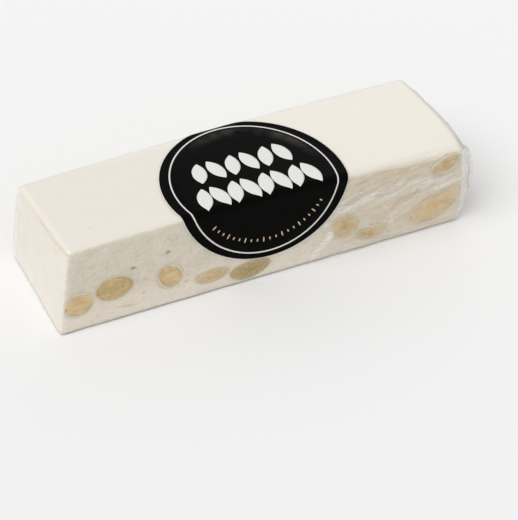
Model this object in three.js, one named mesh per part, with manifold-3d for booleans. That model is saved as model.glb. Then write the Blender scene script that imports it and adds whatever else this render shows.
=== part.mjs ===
// A bar of white nougat with cashews, wrapped in clear film whose ends are folded in like a
// parcel's, with a round paper label bent over its top front edge.
//
// Millimetres. +X runs along the bar, +Y to its back, +Z up. The origin is the centre of the
// bounding box's bottom face, so the bar lies on the plane z = 0.

import * as THREE from 'three';
import { mergeVertices } from 'three/addons/utils/BufferGeometryUtils.js';
import Module from 'manifold-3d';

const wasm = await Module();
wasm.setup();

// ---------------------------------------------------------------- driving sizes

// The bar over its film, before the corners are shifted.
const bar = { length: 140, width: 39, height: 30.8 };
const filmWall = 0.3;
const gap = 0.3;
const edgeRadius = 1.8;
// The rounding's exponent: 2 is a quarter circle, and the bottom edges are crisper.
const rounding = { above: 2.4, below: 4 };
const nougatInset = filmWall + gap;

// The bar is cut by hand from a slab: how far each corner stands off a true box. The ends
// slope out towards the bottom, and the faces are slightly twisted.
const cornerShifts = [
  { right: 0, back: 0, up: 0, dx: -2.5, dy: -1.5 },
  { right: 1, back: 0, up: 0, dx: 1.7, dy: -1.2 },
  { right: 0, back: 1, up: 0, dx: -0.6, dy: 0.8 },
  { right: 1, back: 1, up: 0, dx: 1.2, dy: 0 },
  { right: 0, back: 0, up: 1, dx: 1.1, dy: 2.1 },
  { right: 1, back: 0, up: 1, dx: -1.9, dy: -1.1 },
  { right: 0, back: 1, up: 1, dx: 0, dy: -0.8 },
  { right: 1, back: 1, up: 1, dx: -1.2, dy: 1.1 },
];
// The middle of each side lies this far inside the line between its corners, so the underside
// bears on its corners.
const waist = 0.1;
// The top rises towards its middle, more along the front, and the right end bulges at its top.
const crown = { front: 1.9, back: 1.2 };
const endBulge = 2.5;

// The nougat's skin is uneven: the knife leaves shallow hollows, always inwards.
const reliefDepth = { cutFace: 0.3, paperFace: 0.12 };
const reliefWave = { along: 17, across: 11 };

// The cut nuts that show. x and z are the middle of the cut, length and height its size, tilt
// turns it in the plane of the face, and bend curves it like a kidney.
const frontNuts = [
  { x: -64.1, z: 9.8, length: 9.6, height: 8.8, tilt: -4, bend: 0 },
  { x: -52.3, z: 12.2, length: 12.8, height: 8.8, tilt: -4, bend: 0 },
  { x: -33.2, z: 10.6, length: 9.3, height: 8.2, tilt: -43, bend: 0 },
  { x: -18.6, z: 6.4, length: 12.0, height: 4.8, tilt: 2, bend: 0.1 },
  { x: -5.4, z: 4.8, length: 14.4, height: 6.4, tilt: 6, bend: 0.1 },
  { x: 28.0, z: 10.8, length: 9.8, height: 8.7, tilt: -2, bend: 0 },
  { x: 37.4, z: 6.0, length: 11.0, height: 5.2, tilt: 0, bend: 0.15 },
  { x: 63.8, z: 25.8, length: 9.6, height: 6.3, tilt: 33, bend: 0.1 },
  { x: 59.8, z: 9.5, length: 18.8, height: 9.1, tilt: 27, bend: 0.2 },
];
const backNuts = [
  { x: -61.0, z: 17.2, length: 13.4, height: 7.6, tilt: 24, bend: 0.18 },
  { x: -47.5, z: 7.4, length: 9.6, height: 8.4, tilt: 0, bend: 0 },
  { x: -31.0, z: 19.4, length: 12.2, height: 6.8, tilt: -14, bend: 0.1 },
  { x: -16.5, z: 8.6, length: 15.2, height: 7.8, tilt: 8, bend: 0.2 },
  { x: 4.0, z: 13.8, length: 9.2, height: 8.8, tilt: 30, bend: 0 },
  { x: 21.5, z: 21.8, length: 10.8, height: 5.8, tilt: 5, bend: 0.12 },
  { x: 36.0, z: 9.2, length: 14.4, height: 8.2, tilt: -18, bend: 0.16 },
  { x: 57.0, z: 15.6, length: 10.0, height: 8.6, tilt: 16, bend: 0 },
];
// Half a nut's thickness, and how deep its middle lies under the cut face.
const nutDepth = { halfThickness: 4.2, under: 1.3 };

// The label is a disc of paper. Its middle lies on the top face, in front of the centre line,
// and it is long enough to turn down over the front and just over the back edge. Its slant is how
// far its front part runs to the right for each millimetre that it hangs down.
const label = { radius: 30.7, thickness: 0.3, x: -0.9, s: -10.9, slant: 0.11 };

// The folded film at each end stands off the nougat. It is full between the two heights and runs
// out towards the top and the bottom. The left end is tight. The right end is loose: its front
// part stands out as an ear, whose tip reaches up along the corner, and it lies closer towards
// the back.
const looseEnd = {
  left: {
    crumple: 0.25,
    lowFull: 8,
    ear: { proud: 0.7, highFull: 26 },
    back: { proud: 0.7, highFull: 26 },
    tipFull: 26,
  },
  right: {
    crumple: 0.5,
    lowFull: 10,
    ear: { proud: 3.6, highFull: 23.5 },
    back: { proud: 1.4, highFull: 25 },
    tipFull: 29.2,
  },
};
// Where across the bar the ear and its tip are full, and where they have run out.
const earSpan = { full: -13, gone: 3 };
const tipSpan = { full: -17.5, gone: -13.5 };
// The flaps of the fold: how far each reaches in from its edge, and how much it stands up.
const flap = { topReach: 19, bottomReach: 15, lift: 0.35, slope: 0.8 };
// The film's lengthwise seam, under the bar, stays open by a hair.
const seam = { width: 0.4, length: 124, y: 4 };

// How finely each shape is divided.
const nougatCells = [20, 6, 5];
const filmCells = [12, 14, 12];
const cavityCells = [12, 4, 3];
const roundCells = 2;
const nutSegments = { around: 12, over: 7 };
const labelColumns = 4;
const labelRowCount = 20;
const bendSteps = 3;

// ---------------------------------------------------------------- helpers

// Vertices that share a place become one, with only their position left.
function merged(geometry) {
  geometry.deleteAttribute('normal');
  geometry.deleteAttribute('uv');
  return mergeVertices(geometry);
}

// Moves every vertex of a geometry by a function from [x, y, z] to [x, y, z].
function reshape(geometry, move) {
  const position = geometry.attributes.position;
  for (let i = 0; i < position.count; i += 1) {
    const moved = move([position.getX(i), position.getY(i), position.getZ(i)]);
    position.setXYZ(i, ...moved);
  }
  return geometry;
}

function toSolid(geometry) {
  return new wasm.Manifold(new wasm.Mesh({
    numProp: 3,
    vertProperties: Float32Array.from(geometry.attributes.position.array),
    triVerts: Uint32Array.from(geometry.index.array),
  }));
}

function toGeometry(solid) {
  const mesh = solid.getMesh();
  const geometry = new THREE.BufferGeometry();
  geometry.setAttribute('position', new THREE.BufferAttribute(mesh.vertProperties, 3));
  geometry.setIndex(new THREE.BufferAttribute(mesh.triVerts, 1));
  return geometry;
}

// Gives each point of a true box its share of the waist, the crown, the end's bulge and the
// corners' shifts.
function lean([x, y, z]) {
  const right = x / bar.length + 0.5;
  const back = y / bar.width + 0.5;
  const up = z / bar.height;
  const midLength = 1 - (2 * x / bar.length) ** 2;
  const midWidth = 1 - (2 * y / bar.width) ** 2;
  const nearRightEnd = Math.max(2 * x / bar.length, 0) ** 4;
  const rise = crown.front * (1 - back) + crown.back * back;
  const moved = [
    x * (1 - waist / (bar.length / 2) * midWidth) + endBulge * nearRightEnd * midWidth * up,
    y * (1 - waist / (bar.width / 2) * midLength),
    z + rise * midLength * up,
  ];
  for (const corner of cornerShifts) {
    const share = (corner.right ? right : 1 - right)
      * (corner.back ? back : 1 - back)
      * (corner.up ? up : 1 - up);
    moved[0] += share * corner.dx;
    moved[1] += share * corner.dy;
  }
  return moved;
}

// Where line k of a side's grid lies: `flat` even cells between two rounded edges, whose lines
// are spread so that they end up at even angles round the edge.
function gridLine(k, flat, half, radius) {
  const start = half - radius;
  const fromEnd = Math.min(k, flat + 2 * roundCells - k);
  if (fromEnd >= roundCells) {
    return -start + (2 * start * (k - roundCells)) / flat;
  }
  const angle = ((roundCells - fromEnd) / roundCells) * (Math.PI / 4);
  const reach = start + radius * Math.tan(angle);
  return k < roundCells ? -reach : reach;
}

// A block with rounded edges, standing on z = bottom, centred in x and y.
function roundedBlock(size, radius, flatCells, bottom) {
  const cells = flatCells.map((flat) => flat + 2 * roundCells);
  const geometry = merged(new THREE.BoxGeometry(...cells, ...cells));
  return reshape(geometry, (point) => {
    const onBox = point.map((value, axis) => {
      const k = Math.round(value + cells[axis] / 2);
      return gridLine(k, flatCells[axis], size[axis] / 2, radius);
    });
    const core = onBox.map((value, axis) => {
      const reach = size[axis] / 2 - radius;
      return Math.min(Math.max(value, -reach), reach);
    });
    const away = new THREE.Vector3(...onBox.map((value, axis) => value - core[axis]));
    const power = away.z < 0 ? rounding.below : rounding.above;
    const reach = (Math.hypot(away.x, away.y) ** power + Math.abs(away.z) ** power) ** (1 / power);
    away.multiplyScalar(radius / reach);
    return [core[0] + away.x, core[1] + away.y, core[2] + away.z + size[2] / 2 + bottom];
  });
}

// A rounded block that lies a set distance inside the bar's outside.
function insetBlock(inset, flatCells) {
  const size = [bar.length, bar.width, bar.height].map((side) => side - 2 * inset);
  return roundedBlock(size, edgeRadius - inset, flatCells, inset);
}

function clamp01(value) {
  return Math.min(Math.max(value, 0), 1);
}

// ---------------------------------------------------------------- nougat

// Shallow hollows across the faces: 0 to 1.
function hollow(a, b) {
  const waveA = Math.sin((2 * Math.PI * a) / reliefWave.along + 1.7 * Math.sin(b / reliefWave.across));
  const waveB = Math.cos((2 * Math.PI * b) / reliefWave.across + a / reliefWave.along);
  return 0.5 + 0.5 * waveA * waveB;
}

function nougatBlock() {
  const half = [bar.length / 2, bar.width / 2, bar.height / 2].map((side) => side - nougatInset);
  const middle = bar.height / 2;
  return reshape(insetBlock(nougatInset, nougatCells), ([x, y, z]) => {
    const sides = [x, y, z - middle];
    const depth = sides.map((value, axis) => {
      const onFace = Math.abs(value) > half[axis] - 1e-3;
      const most = axis === 2 ? reliefDepth.paperFace : reliefDepth.cutFace;
      const [a, b] = sides.filter((_, other) => other !== axis);
      return onFace && !(axis === 2 && value < 0) ? most * hollow(a, b) : 0;
    });
    const inwards = sides.map((value, axis) => value - Math.sign(value) * depth[axis]);
    return lean([inwards[0], inwards[1], inwards[2] + middle]);
  });
}

// ---------------------------------------------------------------- nuts

// One nut as a bent ellipsoid whose cut with the face has the size that is given. A positive
// clearance grows it, for the pocket that it lies in.
function nutBody(nut, facing, clearance) {
  const cutShare = Math.sqrt(1 - (nutDepth.under / nutDepth.halfThickness) ** 2);
  const reach = [
    nut.length / 2 / cutShare + clearance,
    nutDepth.halfThickness + clearance,
    nut.height / 2 / cutShare + clearance,
  ];
  const face = bar.width / 2 - nougatInset - nutDepth.under;
  const tilt = THREE.MathUtils.degToRad(nut.tilt);
  const sphere = merged(new THREE.SphereGeometry(1, nutSegments.around, nutSegments.over));
  return reshape(sphere, ([sx, sy, sz]) => {
    const along = sx * reach[0];
    const across = sz * reach[2] + nut.bend * nut.height * (sx * sx - 0.5);
    return lean([
      nut.x + along * Math.cos(tilt) - across * Math.sin(tilt),
      facing * face + sy * reach[1],
      nut.z + along * Math.sin(tilt) + across * Math.cos(tilt),
    ]);
  });
}

// ---------------------------------------------------------------- film

// How far into a span a place across the bar is: 0 where it has run out, and 1 where it is full.
function spanShare(span, y) {
  return clamp01((span.gone - y) / (span.gone - span.full));
}

// How far the folded film stands out from an end at a place on it.
function standOff(end, y, z) {
  const { lerp } = THREE.MathUtils;
  const earShare = spanShare(earSpan, y);
  const proud = lerp(end.back.proud, end.ear.proud, earShare);
  const sideFull = lerp(end.back.highFull, end.ear.highFull, earShare);
  const highFull = lerp(sideFull, end.tipFull, spanShare(tipSpan, y));
  const rise = clamp01(z / end.lowFull) * clamp01((bar.height - z) / (bar.height - highFull));
  const lumps = Math.sin(0.62 * y + 0.35 * z) * Math.cos(0.41 * z - 0.17 * y);
  const fromSide = bar.width / 2 - Math.abs(y);
  const fromTop = bar.height - z;
  const inTopFlap = clamp01((flap.topReach - fromTop) / flap.slope) * clamp01(fromSide - fromTop);
  const inBottomFlap = clamp01((flap.bottomReach - z) / flap.slope) * clamp01(fromSide - z);
  const layers = flap.lift * (inTopFlap + inBottomFlap);
  return rise * (proud + end.crumple * lumps) + layers;
}

function filmOutside() {
  const endStart = bar.length / 2 - edgeRadius / 2;
  return reshape(insetBlock(0, filmCells), ([x, y, z]) => {
    const share = clamp01((Math.abs(x) - endStart) / (bar.length / 2 - endStart));
    const end = x < 0 ? looseEnd.left : looseEnd.right;
    const out = share * standOff(end, y, z);
    const [leanX, leanY, leanZ] = lean([x, y, z]);
    return [leanX + Math.sign(x) * out, leanY, leanZ];
  });
}

function seamSlit() {
  const slit = merged(new THREE.BoxGeometry(seam.length, seam.width, 4 * filmWall));
  return reshape(slit, ([x, y, z]) => lean([x, y + seam.y, z]));
}

function filmSolid() {
  const cavity = reshape(insetBlock(filmWall, cavityCells), lean);
  return toSolid(filmOutside()).subtract(toSolid(cavity)).subtract(toSolid(seamSlit()));
}

// ---------------------------------------------------------------- label

// A point on the label's sheet, x along the bar and s across it, laid over the film: flat on
// top, round the edge, and down the side.
function overBar(x, s, lift) {
  const flatHalf = bar.width / 2 - edgeRadius;
  const past = Math.max(Math.abs(s) - flatHalf, 0);
  const radius = edgeRadius + lift;
  const turn = Math.min(past / edgeRadius, Math.PI / 2);
  const down = Math.max(past - (edgeRadius * Math.PI) / 2, 0);
  const y = Math.min(Math.abs(s), flatHalf) + radius * Math.sin(turn);
  const z = bar.height - edgeRadius + radius * Math.cos(turn) - down;
  return lean([x, Math.sign(s) * y, z]);
}

// The rows of the label's grid: close together towards its ends and round the two edges.
function labelRows() {
  const flatHalf = bar.width / 2 - edgeRadius;
  const rows = [];
  const lastAngle = (86 / 180) * Math.PI;
  for (let i = 0; i <= labelRowCount; i += 1) {
    const angle = -lastAngle + (2 * lastAngle * i) / labelRowCount;
    rows.push(label.s + label.radius * Math.sin(angle));
  }
  const ends = [rows[0], rows[labelRowCount]];
  const bendLength = (edgeRadius * Math.PI) / 2;
  for (const side of [-1, 1]) {
    for (let i = 0; i <= bendSteps; i += 1) {
      rows.push(side * (flatHalf + (bendLength * i) / bendSteps));
    }
  }
  const inside = rows.filter((s) => s >= ends[0] && s <= ends[1]);
  inside.sort((a, b) => a - b);
  const closest = 0.2;
  return inside.filter((s, i) => i === 0 || s - inside[i - 1] > closest);
}

function labelDisc() {
  const rows = labelRows();
  const cells = rows.length - 1;
  const sheet = merged(new THREE.BoxGeometry(2, cells, 1, labelColumns, cells, 1));
  return reshape(sheet, ([across, row, side]) => {
    const s = rows[Math.round(row + cells / 2)];
    const halfWidth = Math.sqrt(label.radius ** 2 - (s - label.s) ** 2);
    const lift = gap + (side + 0.5) * label.thickness;
    const slanted = label.slant * Math.max(-s - bar.width / 2, 0);
    return overBar(label.x + slanted + across * halfWidth, s, lift);
  });
}

// ---------------------------------------------------------------- the part

const materials = {
  nougat: { color: '#ece6dc', roughness: 0.75, metalness: 0 },
  nut: { color: '#d9bf8f', roughness: 0.6, metalness: 0 },
  film: { color: '#f4f4f2', roughness: 0.15, metalness: 0, transparent: true, opacity: 0.25 },
  label: { color: '#11100f', roughness: 0.45, metalness: 0 },
};

function named(name, geometry, finish) {
  geometry.computeVertexNormals();
  const mesh = new THREE.Mesh(geometry, new THREE.MeshStandardMaterial(materials[finish]));
  mesh.name = name;
  return mesh;
}

function nutMeshes(nuts, side, facing, block) {
  return nuts.map((nut, i) => {
    const cut = toSolid(nutBody(nut, facing, 0)).intersect(block);
    return named(`cashew_${side}_${i + 1}`, toGeometry(cut), 'nut');
  });
}

function pockets(nuts, facing) {
  return nuts.map((nut) => toSolid(nutBody(nut, facing, gap)));
}

const part = new THREE.Group();
const block = toSolid(nougatBlock());
let nougat = block;
for (const pocket of [...pockets(frontNuts, -1), ...pockets(backNuts, 1)]) {
  nougat = nougat.subtract(pocket);
}
part.add(named('nougat', toGeometry(nougat), 'nougat'));
part.add(...nutMeshes(frontNuts, 'front', -1, block));
part.add(...nutMeshes(backNuts, 'back', 1, block));
part.add(named('film_wrap', toGeometry(filmSolid()), 'film'));
part.add(named('label', labelDisc(), 'label'));

// Moves the whole so that the origin is the centre of the bounding box's bottom face.
const bounds = new THREE.Box3().setFromObject(part);
const centre = bounds.getCenter(new THREE.Vector3());
part.position.set(-centre.x, -centre.y, -bounds.min.z);

export default part;
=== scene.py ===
"""The looks of a film-wrapped nougat bar with cut cashews and a round label.

It is laid out as a Blender add-on, with an operator for each group of pieces and one for the stage,
and is run as a script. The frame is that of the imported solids, in metres: +X runs along the bar, +Y
to its back and +Z up. Sizes are written in millimetres. They are multiplied by MM where they are
named or, in the tables that give them bare, where they are used.
"""

import math
from functools import partialmethod

import bmesh
import bpy
import numpy as np
from bpy.props import FloatProperty, FloatVectorProperty, PointerProperty
from bpy.types import Operator, Panel, PropertyGroup
from mathutils import Matrix, Vector, noise


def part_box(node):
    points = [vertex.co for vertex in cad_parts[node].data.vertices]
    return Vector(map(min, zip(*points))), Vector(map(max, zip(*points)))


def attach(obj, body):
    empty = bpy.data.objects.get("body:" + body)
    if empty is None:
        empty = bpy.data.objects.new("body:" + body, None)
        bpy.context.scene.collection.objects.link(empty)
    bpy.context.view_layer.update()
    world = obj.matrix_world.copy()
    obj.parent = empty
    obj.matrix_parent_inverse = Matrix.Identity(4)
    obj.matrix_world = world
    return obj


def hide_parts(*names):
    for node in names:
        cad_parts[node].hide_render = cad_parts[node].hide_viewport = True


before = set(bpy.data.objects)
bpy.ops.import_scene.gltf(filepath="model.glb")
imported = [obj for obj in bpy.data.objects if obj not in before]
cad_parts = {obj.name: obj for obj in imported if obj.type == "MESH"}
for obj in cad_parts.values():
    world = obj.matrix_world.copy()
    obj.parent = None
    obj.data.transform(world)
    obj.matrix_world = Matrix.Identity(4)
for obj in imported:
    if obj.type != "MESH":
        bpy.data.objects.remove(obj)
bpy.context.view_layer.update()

bl_info = {
    "name": "Wrapped nougat bar",
    "version": (1, 0, 0),
    "blender": (4, 5, 0),
    "location": "3D Viewport > Sidebar > Nougat",
    "description": "Builds a film-wrapped bar of nougat with cut cashews and a round label",
    "category": "Object",
}

MM = 0.001
X, Y, Z = 0, 1, 2
# The bar's two ends and its two long faces, by the side of the middle that they lie on.
LEFT, RIGHT = -1, 1
FRONT, BACK = -1, 1

# ---------------------------------------------------------------- the bar's form, as the solids have it

BAR_SIZE = np.array([140.0, 39.0, 30.8]) * MM
EDGE_RADIUS = 1.8 * MM
EDGE_STEPS = 3
# The rounding's exponent: 2 is a quarter circle, and the bottom edges are crisper.
ROUNDING = {"above": 2.4, "below": 4}
# The upright edges: (right, back) to the radius at the top, and the share of it that the foot has.
UPRIGHT_RADII = {(0, 0): 1.6 * MM, (1, 0): 1.6 * MM, (0, 1): 2.2 * MM, (1, 1): 3.6 * MM}
UPRIGHT_FOOT = 0.4

# How far each corner stands off a true box: (right, back, up) to (along x, along y).
CORNER_SHIFTS = {
    (0, 0, 0): (-2.5, -1.5),
    (1, 0, 0): (1.7, -1.2),
    (0, 1, 0): (-0.6, 0.8),
    (1, 1, 0): (1.2, 0.0),
    (0, 0, 1): (1.1, 2.1),
    (1, 0, 1): (-1.9, -1.1),
    (0, 1, 1): (0.0, -0.8),
    (1, 1, 1): (-1.2, 1.1),
}

# How far the middle of each side lies inside the line between its corners.
WAIST = 0.1 * MM
# The top rises towards its middle, more along the front, and the right end bulges at its top.
CROWN = {"front": 1.9 * MM, "back": 1.2 * MM}
END_BULGE = 2.5 * MM

# The label's middle on the sheet that lies over the bar, x along it and s across it, how far its
# front part runs to the right for each millimetre that it hangs down, and how high its solid's outer
# face lies over the film.
LABEL_MIDDLE = (-0.9 * MM, -10.9 * MM)
LABEL_SLANT = 0.11
LABEL_SOLID_LIFT = 0.6 * MM

# The shallow hollows that the knife leaves: their depth, the length of their waves and how far those
# sway.
HOLLOW_DEPTH = {"cut": 0.3 * MM, "paper": 0.12 * MM}
HOLLOW_WAVE = {"along": 17 * MM, "across": 11 * MM}
HOLLOW_SWAY = 1.7

# The cut nuts: the middle of the cut, its length and height, its tilt in degrees and its bend.
FRONT_NUTS = (
    (-64.1, 9.8, 9.6, 8.8, -4, 0),
    (-52.3, 12.2, 12.8, 8.8, -4, 0),
    (-33.2, 10.6, 9.3, 8.2, -43, 0),
    (-18.6, 6.4, 12.0, 4.8, 2, 0.1),
    (-5.4, 4.8, 14.4, 6.4, 6, 0.1),
    (28.0, 10.8, 9.8, 8.7, -2, 0),
    (37.4, 6.0, 11.0, 5.2, 0, 0.15),
    (63.8, 25.8, 9.6, 6.3, 33, 0.1),
    (59.8, 9.5, 18.8, 9.1, 27, 0.2),
)
BACK_NUTS = (
    (-61.0, 17.2, 13.4, 7.6, 24, 0.18),
    (-47.5, 7.4, 9.6, 8.4, 0, 0),
    (-31.0, 19.4, 12.2, 6.8, -14, 0.1),
    (-16.5, 8.6, 15.2, 7.8, 8, 0.2),
    (4.0, 13.8, 9.2, 8.8, 30, 0),
    (21.5, 21.8, 10.8, 5.8, 5, 0.12),
    (36.0, 9.2, 14.4, 8.2, -18, 0.16),
    (57.0, 15.6, 10.0, 8.6, 16, 0),
)
# Half a nut's thickness, and how deep its middle lies under the cut face.
NUT_HALF_THICKNESS = 4.2 * MM
NUT_UNDER = 1.3 * MM

# The folded film at each end: how far it stands off at its front ear and at its back, and between
# which heights it does so in full.
LOOSE_END = {
    LEFT: {"crumple": 0.25, "low_full": 8, "ear": (0.7, 26), "back": (0.7, 26), "tip": 26, "top": 0.0},
    RIGHT: {"crumple": 0.5, "low_full": 10, "ear": (3.6, 23.5), "back": (1.4, 25), "tip": 29.2, "top": 1.8},
}
# Where across the bar the ear and its tip are full, and where they have run out.
EAR_SPAN = (-13, 3)
TIP_SPAN = (-17.5, -13.5)
# The two waves whose product is its lumps: how fast each runs across the bar and up it.
END_LUMPS = ((0.62, 0.35), (-0.17, 0.41))
# Between which places across the bar the top edge of the folded film comes to stand off.
TOP_SPAN = (12 * MM, -17 * MM)

# How far the nougat's own right end reaches out under the loose film, at its front, and between
# which places along, across and up the bar it comes to do so.
END_REACH = 1.5 * MM
REACH_ALONG = (60 * MM, 70 * MM)
REACH_ACROSS = (10 * MM, -17 * MM)
REACH_UP = (0, 10 * MM)


def step(value, low, high):
    """0 below low, 1 above high and smooth between them. It falls where low is above high."""
    share = np.clip((value - low) / (high - low), 0, 1)
    return share * share * (3 - 2 * share)


def lean(points):
    """Gives each point of a true box its share of the waist, the crown, the end's bulge and the
    corners' shifts."""
    place = points / BAR_SIZE + np.array([0.5, 0.5, 0.0])
    along = np.clip(2 * points[:, X] / BAR_SIZE[X], -1, 1)
    inwards = np.column_stack([1 - along**2, 1 - (2 * points[:, Y] / BAR_SIZE[Y]) ** 2])
    moved = np.array(points, float)
    moved[:, :2] *= 1 - WAIST / (BAR_SIZE[:2] / 2) * inwards[:, [Y, X]]
    moved[:, X] += END_BULGE * np.maximum(along, 0) ** 4 * inwards[:, Y] * place[:, Z]
    rise = CROWN["front"] * (1 - place[:, Y]) + CROWN["back"] * place[:, Y]
    moved[:, Z] += rise * inwards[:, X] * place[:, Z]
    for corner, shift in CORNER_SHIFTS.items():
        share = np.prod(np.where(corner, place, 1 - place), axis=1)
        moved[:, :2] += share[:, None] * np.array(shift) * MM
    return moved


def over_bar(x, s, lift):
    """Points on a sheet over the bar: flat on top, round the two long edges and down the sides."""
    flat_half = BAR_SIZE[Y] / 2 - EDGE_RADIUS
    past = np.maximum(np.abs(s) - flat_half, 0)
    turn = np.minimum(past / EDGE_RADIUS, math.pi / 2)
    down = np.maximum(past - EDGE_RADIUS * math.pi / 2, 0)
    y = np.minimum(np.abs(s), flat_half) + (EDGE_RADIUS + lift) * np.sin(turn)
    z = BAR_SIZE[Z] - EDGE_RADIUS + (EDGE_RADIUS + lift) * np.cos(turn) - down
    return lean(np.column_stack([x, np.sign(s) * y, z]))


def on_label(x, s, lift):
    """Points of the label's sheet over the bar, x along it and s across it from its middle."""
    s = LABEL_MIDDLE[1] + s
    slanted = LABEL_SLANT * np.maximum(-s - BAR_SIZE[Y] / 2, 0)
    return over_bar(LABEL_MIDDLE[0] + x + slanted, s, lift)


def bar_middle(radius):
    """The bar's own middle in the frame, from where the label's solid lies there."""
    turn = np.linspace(0, 2 * math.pi, 721)
    outline = on_label(radius * np.cos(turn), radius * np.sin(turn), LABEL_SOLID_LIFT)
    low, high = (np.array(corner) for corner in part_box("label"))
    shift = (low + high - outline.min(0) - outline.max(0)) / 2
    return np.array([shift[X], shift[Y], 0.0])


def hollow(a, b):
    """The knife's hollows on a face, from 0 to 1."""
    along, across = HOLLOW_WAVE["along"], HOLLOW_WAVE["across"]
    wave_a = np.sin(2 * math.pi * a / along + HOLLOW_SWAY * np.sin(b / across))
    wave_b = np.cos(2 * math.pi * b / across + a / along)
    return 0.5 + 0.5 * wave_a * wave_b


def hollow_depth(points, outwards):
    """How deep the hollows are at points of a block whose faces look outwards."""
    x, y, z = points[:, X], points[:, Y], points[:, Z] - BAR_SIZE[Z] / 2
    share = outwards**2
    paper = np.where(outwards[:, Z] > 0, HOLLOW_DEPTH["paper"], 0)
    cut = share[:, X] * hollow(y, z) + share[:, Y] * hollow(x, z)
    return HOLLOW_DEPTH["cut"] * cut + paper * share[:, Z] * hollow(x, y)


def stand_off(side, y, z):
    """How far the film stands out from an end, at places on it."""
    end = LOOSE_END[side]
    ear, tip = (np.clip((gone - y / MM) / (gone - full), 0, 1) for full, gone in (EAR_SPAN, TIP_SPAN))
    proud = end["back"][0] + (end["ear"][0] - end["back"][0]) * ear
    high_full = end["back"][1] + (end["ear"][1] - end["back"][1]) * ear
    high_full = high_full + (end["tip"] - high_full) * tip
    height = BAR_SIZE[Z] / MM
    low = np.clip(z / MM / end["low_full"], 0, 1)
    high = np.clip((height - z / MM) / (height - high_full), 0, 1)
    wave, cross_wave = (across * y / MM + up * z / MM for across, up in END_LUMPS)
    lumps = np.sin(wave) * np.cos(cross_wave)
    top = end["top"] * step(y, *TOP_SPAN)
    return low * (high * (proud + end["crumple"] * lumps) + (1 - high) * top) * MM


def end_reach(x, y, z):
    """How far out places of the nougat's right end are moved."""
    return END_REACH * step(x, *REACH_ALONG) * step(y, *REACH_ACROSS) * step(z, *REACH_UP)


# ---------------------------------------------------------------- mesh helpers


def noise_at(points, widths, octaves=2, seed=0.0):
    """Smooth noise of about -1 to 1 at each point. widths are its lumps' own along the axes, in
    millimetres, or one number for all three."""
    scaled = points / (np.asarray(widths) * MM) + seed
    return np.array([noise.fractal(Vector(p), 1.0, 2.0, octaves) for p in scaled])


def reshape(bm, move):
    """Moves all the vertices of a bmesh by a function from points to points, one to a row."""
    moved = move(np.array([v.co for v in bm.verts]))
    for vert, place in zip(bm.verts, moved):
        vert.co = place


def rounded_block(inset, under, cells):
    """A closed block inside the bar's outside, with rounded edges and evenly cut faces.

    inset is its distance inside the top and the sides, and under its height over the floor.
    """
    low = np.array([-BAR_SIZE[X] / 2 + inset, -BAR_SIZE[Y] / 2 + inset, under])
    high = np.array([BAR_SIZE[X] / 2 - inset, BAR_SIZE[Y] / 2 - inset, BAR_SIZE[Z] - inset])
    radius = EDGE_RADIUS - inset
    bm = bmesh.new()
    bmesh.ops.create_cube(bm, size=1.0)
    bmesh.ops.scale(bm, vec=high - low, verts=bm.verts)
    bmesh.ops.translate(bm, vec=(low + high) / 2, verts=bm.verts)
    bmesh.ops.bevel(
        bm, geom=bm.edges[:], offset=radius, affect="EDGES", segments=EDGE_STEPS, profile=0.5, material=-1
    )
    for axis, count in enumerate(cells):
        shortest = 0.9 * (high[axis] - low[axis] - 2 * radius)
        long_edges = [e for e in bm.edges if abs((e.verts[1].co - e.verts[0].co)[axis]) > shortest]
        bmesh.ops.subdivide_edges(bm, edges=long_edges, cuts=count - 1, use_grid_fill=True)
    core = low + radius, high - radius
    reshape(bm, lambda points: rounder_uprights(squarer_edges(points, core, radius), high[:2], inset))
    return bm, core


def squarer_edges(points, core, radius):
    """Moves the round of the level edges out towards a sharp edge."""
    away = points - np.clip(points, *core)
    level, upright = np.hypot(away[:, X], away[:, Y]) / radius, np.abs(away[:, Z]) / radius
    power = np.where(away[:, Z] < 0, ROUNDING["below"], ROUNDING["above"])
    reach = (level**power + upright**power) ** (1 / power)
    grow = np.where((upright > 0) & (level > 0), np.hypot(level, upright) / np.maximum(reach, 1e-9), 1)
    return points + away * (grow - 1)[:, None]


def rounder_uprights(points, half, inset):
    """Draws in the upright edges to their own radii, which grow from the foot to the top."""
    moved = points.copy()
    grown = UPRIGHT_FOOT + (1 - UPRIGHT_FOOT) * points[:, Z] / BAR_SIZE[Z]
    for (right, back), full_radius in UPRIGHT_RADII.items():
        radius = np.maximum(full_radius * grown - inset, 0)
        signs = np.array([1 if right else -1, 1 if back else -1])
        past = np.maximum(points[:, :2] * signs - half + radius[:, None], 0)
        reach = np.hypot(*past.T)
        share = np.where((past.min(1) > 0) & (reach > radius), radius / np.maximum(reach, 1e-9), 1)
        moved[:, :2] += past * (share - 1)[:, None] * signs
    return moved


def block_normals(points, core):
    """Which way a rounded block faces at points on it, from the box that its edges turn about."""
    away = points - np.clip(points, *core)
    return away / np.maximum(np.linalg.norm(away, axis=1), 1e-9)[:, None]


def add_object(name, data):
    """An object in the scene."""
    made = bpy.data.objects.new(name, data)
    bpy.context.scene.collection.objects.link(made)
    return made


def make_piece(name, bm, finish, stands_for, fields=None, wall=None):
    """Turns a bmesh into a piece of the object. fields are numbers for each vertex, by name, and
    wall the thickness of a sheet and the side that it grows to."""
    mesh = bpy.data.meshes.new(name)
    bm.normal_update()
    bm.to_mesh(mesh)
    bm.free()
    mesh.shade_smooth()
    for field, values in (fields or {}).items():
        mesh.attributes.new(field, "FLOAT", "POINT").data.foreach_set("value", values.astype(np.float32))
    mesh.materials.append(finish)
    piece = add_object(name, mesh)
    if wall:
        sheet = piece.modifiers.new("wall", "SOLIDIFY")
        sheet.thickness, sheet.offset = wall
        sheet.use_even_offset = False
    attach(piece, "root")
    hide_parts(*stands_for)


# ---------------------------------------------------------------- shader helpers


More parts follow.
